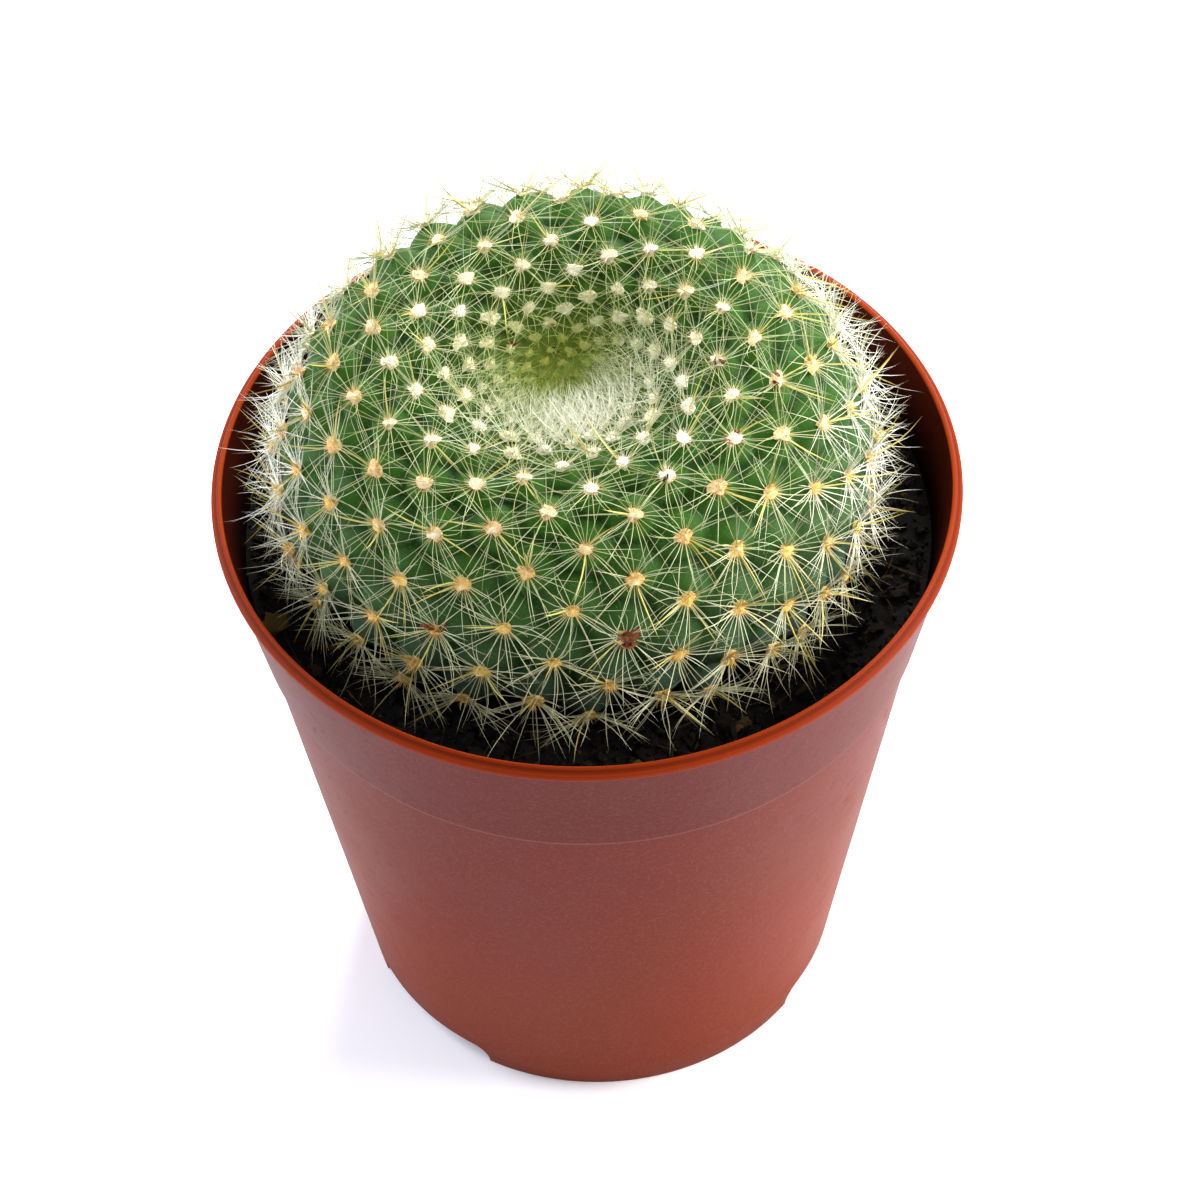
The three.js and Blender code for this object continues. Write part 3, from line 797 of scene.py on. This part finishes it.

# %% [markdown]
# The spines of an areole depend on where it stands: how young it is, whether it is on the sunny or
# the shady side of the crown or on the side and back flanks, and how low it is. Those on the side
# and back flanks, on the sunny side and, a little, low down are marked as white: sunlight shining
# through them is painted into their colour. Those at the heart of the crown are marked as fresh:
# their own young yellow-green, with painted shade that makes it greener on the side away from the sun.

# %% Where each areole stands
SUNNY_SIDE = Vector((0.35, -0.94))
HEART, LOWER, LOWER_ROWS = 15, 150, 60
YOUNG_POWER, SHADY_POWER = 0.8, 0.6
PAST_FRONT, STEEP, STEEPER_BEHIND = (-0.75, 0.5), (0.74, 0.22), 0.14
WHITE_HEIGHTS, LEAST_WHITE_SIDE, WHITE_LOW = (72, 12), 0.15, 0.2
CROWN_REACH, WHITE_CROWN, WHITE_SUNNY = 2.5, 0.2, 0.65

for spot in spots:
    young = youth(spot) ** YOUNG_POWER
    sunny = spot["local"].xy.normalized().dot(SUNNY_SIDE) * (spot["number"] > HEART)
    spot["young"], spot["sunny"] = young, max(sunny, 0) * young
    spot["shady"] = max(-sunny, 0) * young**SHADY_POWER
    steepness = spot["out"].xy.length + STEEPER_BEHIND * max(spot["out"].y, 0)
    spot["side"] = ramp(spot["out"].y, *PAST_FRONT) * ramp(steepness, *STEEP)
    spot["low"] = ramp(spot["number"], LOWER, LOWER_ROWS)
    # Fresh is the young spines' own yellow-green, and painted shade where it grows on the side away from the
    # sun.
    spot["fresh"] = min(young**2 * (1 - sunny), 1)
    # Painted light: the white mark paints sunlight shining through the spines on the side and back flanks, a
    # little low down, and on the crown's sunny side.
    lit_side = spot["side"] * max(ramp(spot["at"].z, *WHITE_HEIGHTS), LEAST_WHITE_SIDE)
    lit_crown = min(youth(spot) * CROWN_REACH, 1) * (WHITE_CROWN + WHITE_SUNNY * sunny)
    spot["white"] = max(lit_side, WHITE_LOW * spot["low"], lit_crown)
print("areoles with white spines:", sum(spot["white"] > 0.5 for spot in spots))

# %% [markdown]
# The radial spines stand round each areole. In the crown they are few, short and upright, and
# fewest on its shady side. On grown areoles they lie out flat like a star: some twenty-three in
# front, and up to thirty-five shorter and curlier ones on the side and back flanks.

# %% Radial spines
MARKS = ("along", "tone", "age", "fresh", "white")
GROWN_SPINES, CROWN_SPINES = 23, 13
MORE_SUNNY, FEWER_SHADY, MORE_SIDE, MORE_LOW = 4, 12, 12, 5
GROWN_LIFT, CROWN_LIFT, LIFT_SPREAD = math.radians(22), math.radians(80), math.radians(8)
GROWN_LENGTH, CROWN_LENGTH, LENGTH_SPREAD = 7.1, 4.0, (0.8, 1.08)
LONGER_SUNNY, SHORTER_SHADY, SHORTER_SIDE = 0.3, 2.6, 1.5
THICKNESS, THINNER_YOUNG, THICKER_LOW = (0.085, 0.13), 0.02, 0.015
WANDER, WANDER_SIDE, WANDER_LOW = 0.15, 0.17, 0.08
TURN_SPREAD = 0.55

radials = marked_bmesh(*MARKS)
for spot in spots:
    star = marked_bmesh(*MARKS)
    young, side, low = spot["young"], spot["side"], spot["low"]
    count = round(
        GROWN_SPINES + young * (CROWN_SPINES - GROWN_SPINES) + MORE_SUNNY * spot["sunny"]
        - FEWER_SHADY * spot["shady"] + MORE_SIDE * side + MORE_LOW * low * (1 - side)
    )
    lift = GROWN_LIFT + young * (CROWN_LIFT - GROWN_LIFT)
    length = (
        GROWN_LENGTH + young * (CROWN_LENGTH - GROWN_LENGTH) + LONGER_SUNNY * spot["sunny"]
        - SHORTER_SHADY * spot["shady"] - SHORTER_SIDE * side
    )
    turn = draw.uniform(0, math.tau)
    for i in range(count):
        grow(
            star, spot,
            angle=turn + (i + draw.uniform(-TURN_SPREAD, TURN_SPREAD)) * math.tau / count,
            lift=lift + draw.gauss(0, LIFT_SPREAD),
            length=length * draw.uniform(*LENGTH_SPREAD),
            thickness=draw.uniform(*THICKNESS) - THINNER_YOUNG * young + THICKER_LOW * low,
            wander=WANDER + max(WANDER_SIDE * side, WANDER_LOW * low),
            tone=draw.random(), age=spot["age"], fresh=spot["fresh"], white=spot["white"],
        )
    join(radials, [star])
print("radial spines:", len(radials.verts) // len(long_needle.vertices))

# %% [markdown]
# Thicker central spines stand out from the grown areoles: one or two on the lower ones, and one on
# about every second areole above them. Young areoles have none yet.

# %% Central spines
LOW_CENTRALS, HIGH_CENTRALS, TOO_YOUNG = (1, 2, 2), (0, 0, 1, 1), 0.25
CENTRAL_LENGTH, CENTRAL_SPREAD = 7.4, (0.7, 1.0)
CENTRAL_LIFT, CENTRAL_THICKNESS, CENTRAL_WANDER = (24, 60), (0.18, 0.26), 0.12

centrals = marked_bmesh(*MARKS)
for spot in spots:
    if youth(spot) > TOO_YOUNG:
        continue
    for _ in range(draw.choice(LOW_CENTRALS if spot["number"] > LOWER else HIGH_CENTRALS)):
        grow(
            centrals, spot,
            angle=draw.uniform(0, math.tau),
            lift=math.radians(draw.uniform(*CENTRAL_LIFT)),
            length=CENTRAL_LENGTH * draw.uniform(*CENTRAL_SPREAD),
            thickness=draw.uniform(*CENTRAL_THICKNESS),
            wander=CENTRAL_WANDER,
            tone=draw.random(), age=spot["age"], fresh=0, white=0,
        )
print("central spines:", len(centrals.verts) // len(long_needle.vertices))

# %% [markdown]
# Radial spines are a glassy, pale greenish straw, and age turns their feet golden. Those marked as
# white are painted near white, for the sunlight shining through them, and the youngest, at the heart
# of the crown, are yellow-green, greener on the side away from the sun as painted shade.
# Central spines are a yellower gold. Both kinds are dry and horn-like, with a satin shine.

# %% Spine finishes
def horn(name, pale, straw, foot_colour):
    """The matter of spines: from pale to straw with tone and age, and aged feet in a third colour"""
    finish = Finish(name, Roughness=0.35, Specular_IOR_Level=0.5)
    along, tone, age, fresh, white = (finish.attribute(mark) for mark in MARKS)
    colour = finish.mix((tone * 0.6 + age * 0.3).between(0.35, 1.1), tint(pale), tint(straw))
    colour = finish.mix(along.between(0.25, 0.0) * age.between(0.5, 1.0), colour, tint(foot_colour))
    # Painted light: white spines are painted near white, for sunlight shining through them.
    colour = finish.mix(white, colour, tint("FFFDF0"))
    # Painted shade in part: fresh spines are yellow-green, most on the side away from the sun.
    colour = finish.mix(fresh * 0.85, colour, tint("B6C454"))
    finish.feed(Base_Color=colour)
    return finish


pale_green = horn("glassy_spine", "AAB686", "B2AC70", "C0A04A")
golden = horn("golden_spine", "D6CA6A", "B8A442", "BEA646")
piece("radial_spines", radials, pale_green)
piece("central_spines", centrals, golden)

# %% [markdown]
# The wool tuft is a small lumpy cushion with fine hairs all over. A few are made, and each areole
# gets one of them, turned at random and as large as suits its age and spacing.

# %% Wool tufts
TUFT_KINDS = 5
TUFT_HAIRS = 38
CUSHION = (1.35, 1.75, 1.3)
HAIR_LENGTH, HAIR_THICKNESS, HAIR_WANDER = (0.7, 1.2), 0.085, 0.25
TUFT_LIFT, TUFT_TURN = 0.12, 0.5
WOOL_MARKS = MARKS[:4]


def wool_tuft():
    """A cushion and its hairs, about 1.5 across, with its outer side along Z"""
    shape = marked_bmesh(*WOOL_MARKS)
    for vertex in add_copy(shape, lump(0.75, 0.9, 2), Matrix.Diagonal((*CUSHION, 1))):
        vertex[shape.verts.layers.float["along"]] = 0.3 + vertex.co.z
    for _ in range(TUFT_HAIRS):
        way = Vector([draw.gauss(0, 1) for _ in range(3)])
        way.z = abs(way.z) + 0.1
        way.normalize()
        bend = Vector([draw.gauss(0, HAIR_WANDER) for _ in range(3)])
        foot = Vector((way.x * 0.35, way.y * 0.45, way.z * 0.25))
        length = draw.uniform(*HAIR_LENGTH)
        add_spine(shape, foot, way, length, HAIR_THICKNESS, bend, short_needle)
    return small_mesh("tuft", shape)


tuft_kinds = [wool_tuft() for _ in range(TUFT_KINDS)]
tufts = marked_bmesh(*WOOL_MARKS)
for spot in spots:
    ahead, left, out = directions(spot)
    stand = Matrix((ahead, left, out)).transposed().to_4x4()
    place = Matrix.Translation(spot["at"] + out * (TUFT_LIFT * spot["tuft"])) @ stand
    turn = Matrix.Rotation(draw.uniform(-TUFT_TURN, TUFT_TURN), 4, "Z")
    place = place @ turn @ Matrix.Scale(spot["tuft"], 4)
    # Painted light: wool on the back is held at the age of grown wool, so it turns less golden, for light
    # shining through it.
    age = spot["age"] if spot["out"].y < 0.2 else min(spot["age"], 1)
    marks = {"tone": spot["tone"], "age": age, "fresh": spot["fresh"]}
    add_copy(tufts, draw.choice(tuft_kinds), place, **marks)

# %% [markdown]
# Wool is cream when young. Age turns it golden, from its foot outwards, but on the back it turns
# less golden, as painted light shining through it. At the heart of the crown it is yellow-green,
# greener on the side away from the sun as painted shade. A fine noise breaks it up into flocks.

# %% Wool finish
wool = Finish("areole_wool", Roughness=0.85, Specular_IOR_Level=0.2, Sheen_Weight=0.15)
along, tone, age, fresh = (wool.attribute(mark) for mark in WOOL_MARKS)
fluff = wool.noise(0.25, 3, 0.6)
cream = wool.mix(tone, tint("FFFBEC"), tint("FAF0CC"))
gold = wool.mix(tone, tint("F2C840"), tint("E4A822"))
golden_part = (age * 0.75 + tone * 0.25 - along * 0.9).between(0.1, 0.6)
colour = wool.mix(golden_part * age.between(0.8, 1.45), cream, gold)
# Fresh wool is yellow-green, partly painted shade on the side away from the sun.
colour = wool.mix(fresh, colour, wool.mix(tone, tint("D8D872"), tint("C0C654")))
colour = wool.mix(fluff.between(0.35, 0.7) * (0.3 - 0.2 * fresh), colour, tint("FFFCF0"))
wool.feed(Base_Color=colour, Normal=wool.bump(fluff, 0.08))
piece("wool_tufts", tufts, wool)

# %% [markdown]
# Here and there a dried flower clings to its areole: a few crumpled reddish-brown scraps. The list
# says at which areoles, with how many scraps and how large these get.

# %% Dried flowers
DRIED = {
    207: (5, 1.15), 211: (3, 0.9), 138: (2, 0.7), 123: (2, 0.8), 152: (2, 0.7), 145: (2, 0.8),
    98: (2, 0.7), 54: (2, 0.9), 35: (2, 0.8), 64: (1, 0.8), 60: (3, 0.9),
}

dried = marked_bmesh("tone")
scraps = [lump(0.45, 1.3, 2) for _ in range(3)]
for spot in spots:
    if spot["number"] not in DRIED:
        continue
    ahead, left, out = directions(spot)
    count, largest = DRIED[spot["number"]]
    for _ in range(count):
        size = largest * (0.35 + 0.13 * spot["spacing"]) * draw.uniform(0.5, 1.0)
        shift = ahead * draw.uniform(-0.7, 1.0) + left * draw.uniform(-1.0, 1.0)
        shift += out * draw.uniform(0.4, 1.0)
        place = Matrix.Translation(spot["at"] + shift * 0.9) @ any_turn()
        place = place @ Matrix.Diagonal((size * 1.6, size * 0.8, size * 0.8, 1))
        add_copy(dried, draw.choice(scraps), place, tone=draw.random())
husk = Finish("dried_flower", Roughness=0.8, Specular_IOR_Level=0.25)
crumple = husk.noise(0.5, 4, 0.6)
husk_brown = husk.mix(husk.attribute("tone"), tint("6A3018"), tint("B87038"))
husk.feed(Base_Color=husk.mix(crumple, husk_brown, tint("2E140E")), Normal=husk.bump(crumple, 0.2))
piece("dried_flowers", dried, husk)

# %% [markdown]
# The soil is peat: near black, with lumps, crumbs and a few fibres. Its block is spun like the pot.
# Its upper face and the hole for the plant are then pulled over to where the plant stands, and
# the face is roughened with noise.

# %% Soil block
SOIL_STEPS = 400
SOIL_ROWS = 34
HOLE_RADIUS = 28
HOLE_DEPTH = 15
HOLE_ROWS = 8
LOWER_INSET = GAP + 0.02
CLOSE = 0.01

edge_radius = wall_radius(SOIL_LEVEL) - GAP
soil_profile = [
    (0, FLOOR_TOP + GAP),
    (FOOT_RADIUS - WALL + FOOT_DRAFT - LOWER_INSET, FLOOR_TOP + GAP),
    (COLLAR_FOOT_RADIUS - COLLAR_STEP - WALL - LOWER_INSET, COLLAR_FOOT - COLLAR_STEP),
    (COLLAR_FOOT_RADIUS - WALL - LOWER_INSET, COLLAR_FOOT),
]
for i in range(SOIL_ROWS):
    soil_profile.append((edge_radius + i / SOIL_ROWS * (HOLE_RADIUS - edge_radius), SOIL_LEVEL))
for i in range(HOLE_ROWS + 1):
    angle = i / HOLE_ROWS * math.pi / 2
    soil_profile.append((HOLE_RADIUS * math.cos(angle), SOIL_LEVEL - HOLE_DEPTH * math.sin(angle)))
soil_profile[-1] = (0, SOIL_LEVEL - HOLE_DEPTH)


def neck_radius(azimuth):
    """How far from its middle the plant reaches where it enters the soil"""
    low, high = math.pi / 2, LAST_ANGLE
    for _ in range(24):
        angle = (low + high) / 2
        radius, height = outline(angle)
        east, north = math.cos(azimuth) * (1 + OVAL), math.sin(azimuth) * (1 - OVAL)
        at = body_place @ Vector((radius * east, radius * north, height))
        low, high = (angle, high) if at.z > SOIL_LEVEL + 0.7 else (low, angle)
    return math.hypot(at.x - BODY_CENTRE.x, at.y - BODY_CENTRE.y)


necks = [neck_radius(math.radians(i)) + GAP for i in range(361)]
print("plant at the soil:", round(min(necks), 1), "to", round(max(necks), 1))


def pulled_over(x, y):
    """Moves a place between wall and hole so that the hole's edge meets the plant"""
    radius, azimuth = math.hypot(x, y), math.atan2(y, x)
    neck = necks[round(math.degrees(azimuth)) % 360]
    way = Vector((math.cos(azimuth), math.sin(azimuth)))
    hole_edge = BODY_CENTRE.xy + way * neck
    if radius < HOLE_RADIUS:
        return BODY_CENTRE.xy.lerp(hole_edge, radius / HOLE_RADIUS)
    return (way * edge_radius).lerp(hole_edge, (edge_radius - radius) / (edge_radius - HOLE_RADIUS))


def soil_height(place):
    """How far the surface of the soil rises at a place"""
    x, y = place
    lumps = 0.42 * noise.noise(Vector((x, y, 0)) / 4.5)
    grains = 0.3 * noise.noise(Vector((x, y, 20)) / 1.5) + 0.16 * noise.noise(Vector((x, y, 40)) / 0.6)
    return lumps + grains


soil = profile_bmesh(soil_profile)
turned(soil, SOIL_STEPS)
for vertex in soil.verts:
    x, y, height = vertex.co
    in_hole = math.hypot(x, y) < HOLE_RADIUS + CLOSE and height > SOIL_LEVEL - HOLE_DEPTH - 0.1
    on_top = height > SOIL_LEVEL - CLOSE
    if in_hole or on_top:
        vertex.co.xy = pulled_over(x, y)
    if on_top and math.hypot(x, y) < edge_radius - 0.1:
        vertex.co.z += soil_height(vertex.co.xy)

# %% [markdown]
# Crumbs lie all over the soil, mostly small ones, with two bits of bark and some fibres. They are
# placed clear of the plant and the wall, and a fibre that would run towards the plant is turned round.

# %% Crumbs and fibres
CRUMBS = 2600
SMALLEST_CRUMB, CRUMB_RANGE, LARGE_CRUMB = 0.45, 1.6, 0.9
FIBRES = 90
FIBRE_LENGTH, FIBRE_THICKNESS, FIBRE_MARGIN = (2, 6), (0.14, 0.3), 1.5
BARK = ((-35.4, -12.4, 3.5), (-20.0, 30.2, 3.0))


def soil_spot(margin):
    """A random place on the soil, this far clear of the plant and the wall"""
    azimuth = draw.uniform(0, math.tau)
    way = Vector((math.cos(azimuth), math.sin(azimuth)))
    inner = BODY_CENTRE.xy + way * (necks[round(math.degrees(azimuth)) % 360] + margin)
    outer = way * (edge_radius - margin)
    place = inner.lerp(outer, draw.random())
    return Vector((*place, SOIL_LEVEL + soil_height(place)))


crumbs = marked_bmesh("tone")
small_lumps = [lump(0.8, 0.9, 1) for _ in range(6)]
large_lumps = [lump(0.75, 1.0, 2) for _ in range(6)]
handfuls = [marked_bmesh("tone") for _ in range(26)]
for i in range(CRUMBS):
    size = SMALLEST_CRUMB + CRUMB_RANGE * draw.random() ** 4
    spread = Matrix.Diagonal((size * draw.uniform(0.8, 1.4), size, size * draw.uniform(0.7, 1.0), 1))
    at = soil_spot(size * 0.6) + Vector((0, 0, 0.12 * size))
    place = Matrix.Translation(at) @ any_turn() @ spread
    kind = draw.choice(large_lumps if size > LARGE_CRUMB else small_lumps)
    add_copy(handfuls[i % len(handfuls)], kind, place, tone=draw.random())
join(crumbs, handfuls)
for x, y, size in BARK:
    spread = Matrix.Diagonal((size, size * 0.85, size * 0.65, 1))
    place = Matrix.Translation((x, y, SOIL_LEVEL + 0.5)) @ spread
    add_copy(crumbs, draw.choice(large_lumps), place, tone=1.0)
fibres = marked_bmesh("along", "tone")
for _ in range(FIBRES):
    foot = soil_spot(FIBRE_MARGIN) + Vector((0, 0, 0.25))
    way = Vector((draw.gauss(0, 1), draw.gauss(0, 1), draw.uniform(0, 0.25))).normalized()
    way, length = clear_way(foot, way, draw.uniform(*FIBRE_LENGTH))
    inward = (BODY_CENTRE - foot).xy.length - (BODY_CENTRE - foot - way * length).xy.length
    if inward > 0:
        way = Vector((-way.x, -way.y, way.z))
        way, length = clear_way(foot, way, length)
    bend = Vector((draw.gauss(0, 0.12), draw.gauss(0, 0.12), -0.02))
    thickness = draw.uniform(*FIBRE_THICKNESS)
    add_spine(fibres, foot, way, length, thickness, bend, tone=draw.random())

# %% [markdown]
# Peat is near black, with browner patches and fine grains. Its finish also lets the crumbs and
# fibres with the highest tones take a rarer, lighter colour.

# %% Soil finishes
def peat(name, darkest, brown, rare):
    """Peat, from near black to brown, with a few grains of a rarer colour"""
    finish = Finish(name, Roughness=0.95, Specular_IOR_Level=0.15)
    patches, grains = finish.noise(3, 4, 0.6), finish.noise(0.5, 4, 0.7)
    tone = finish.attribute("tone")
    colour = finish.mix(patches.between(0.3, 0.75), tint(darkest), tint(brown))
    colour = finish.mix(grains * 0.5, colour, tint(darkest))
    colour = finish.mix(tone.between(0.9, 1.0) * 0.8, colour, tint(rare))
    finish.feed(Base_Color=colour, Normal=finish.bump(grains, 0.3))
    return finish


piece("soil_block", soil, peat("peat", "090706", "16100C", "16100C"), "soil")
piece("soil_crumbs", crumbs, peat("peat_crumbs", "0A0807", "1B130E", "54441C"))
piece("soil_fibres", fibres, peat("peat_fibres", "2A1D13", "3D2B1A", "6A5230"))

# %% [markdown]
# The stage is a plain pale floor with hardly any glow of its own, so that the pot's shadow shows at
# the lower left. A soft window at the right and a second light behind the plant make its spines
# shine. A bluish one at the left lights the pot's wall. A weak ceiling light and a pale sky fill
# the rest.

# %% Floor and lights
FLOOR_SIZE, FLOOR_GLOW, SKY_STRENGTH = 3, 0.14, 0.38

floor_shape = bmesh.new()
bmesh.ops.create_grid(floor_shape, x_segments=1, y_segments=1, size=FLOOR_SIZE)
floor_mesh = bpy.data.meshes.new("floor")
floor_shape.to_mesh(floor_mesh)
floor_shape.free()
floor = bpy.data.objects.new("floor", floor_mesh)
bpy.context.scene.collection.objects.link(floor)
paper = Finish("pale_floor", Roughness=0.9, Specular_IOR_Level=0.1)
paper.shader.inputs["Base Color"].default_value = tint("F7F7FA")
paper.shader.inputs["Emission Color"].default_value = tint("F4F6FF")
paper.shader.inputs["Emission Strength"].default_value = FLOOR_GLOW
floor_mesh.materials.append(paper.material)
floor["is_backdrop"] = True


def soft_light(name, place, size, power, colour):
    """A round lamp at a place in metres, aimed at the plant"""
    light = bpy.data.lights.new(name, "AREA")
    light.shape, light.size = "DISK", size
    light.energy, light.color = power, colour
    lamp = bpy.data.objects.new(name, light)
    lamp.location = place
    lamp.rotation_euler = (AIM - Vector(place)).to_track_quat("-Z", "Y").to_euler()
    bpy.context.scene.collection.objects.link(lamp)


soft_light("window", (0.7, 0.0, 0.42), 0.5, 10, (1.0, 0.98, 0.95))
soft_light("back", (0.15, 0.65, 0.6), 0.4, 10.5, (1.0, 1.0, 0.98))
soft_light("sky_left", (-0.69, 0.26, 0.52), 0.5, 7.6, (0.84, 0.88, 1.0))
soft_light("ceiling", (0.0, -0.1, 0.95), 0.6, 1.6, (1.0, 1.0, 1.0))
world = bpy.data.worlds.new("pale_sky")
world.use_nodes = True
sky = world.node_tree.nodes["Background"]
sky.inputs["Color"].default_value = (0.93, 0.96, 1.0, 1)
sky.inputs["Strength"].default_value = SKY_STRENGTH
bpy.context.scene.world = world

# %% [markdown]
# Last, the sizes: the finished model has to stay within the box of the solids.

# %% Sizes
visual_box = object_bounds()
boxes = {"solids": [list(corner) for corner in solid_box], "visual": [list(corner) for corner in visual_box]}
for name, (low, high) in boxes.items():
    print(name, "box in mm:", [round(x / MM, 1) for x in low], [round(x / MM, 1) for x in high])
